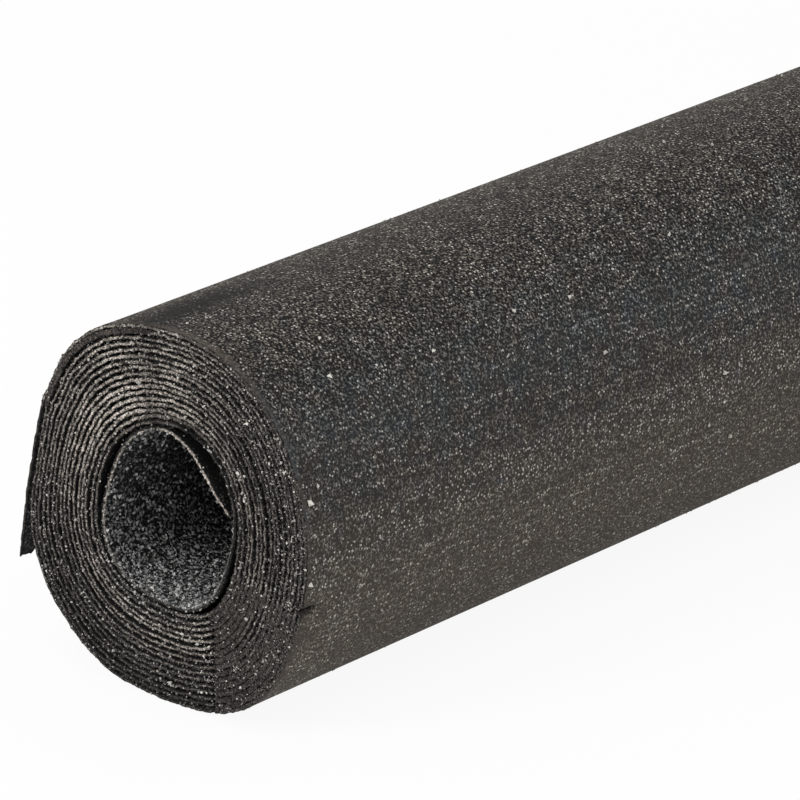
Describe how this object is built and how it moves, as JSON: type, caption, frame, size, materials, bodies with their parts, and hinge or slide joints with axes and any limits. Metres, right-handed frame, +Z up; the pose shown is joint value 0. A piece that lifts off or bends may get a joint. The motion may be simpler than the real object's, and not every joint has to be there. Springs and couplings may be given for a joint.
{
  "type": "roll of roofing felt",
  "caption": "Roll of sanded bitumen roofing felt lying on its side, spiral turns showing on its ends round an open bore, with a loose inner turn and a peeling outer end flap.",
  "frame": {"origin": "on the floor, at the middle of the roll's footprint as it lies", "axes": "+Z up, Y along the roll; seen from -Y the sheet winds outwards counter-clockwise and its outer end hangs at -X"},
  "size_m": [0.1268, 1, 0.1258],
  "materials": {
    "sanded_bitumen_felt": "matt black bitumen sheet faced with fine grey and buff mineral sand, brownish cut edges"
  },
  "bodies": {
    "root": {"felt_roll": "sanded_bitumen_felt"}
  },
  "joints": []
}
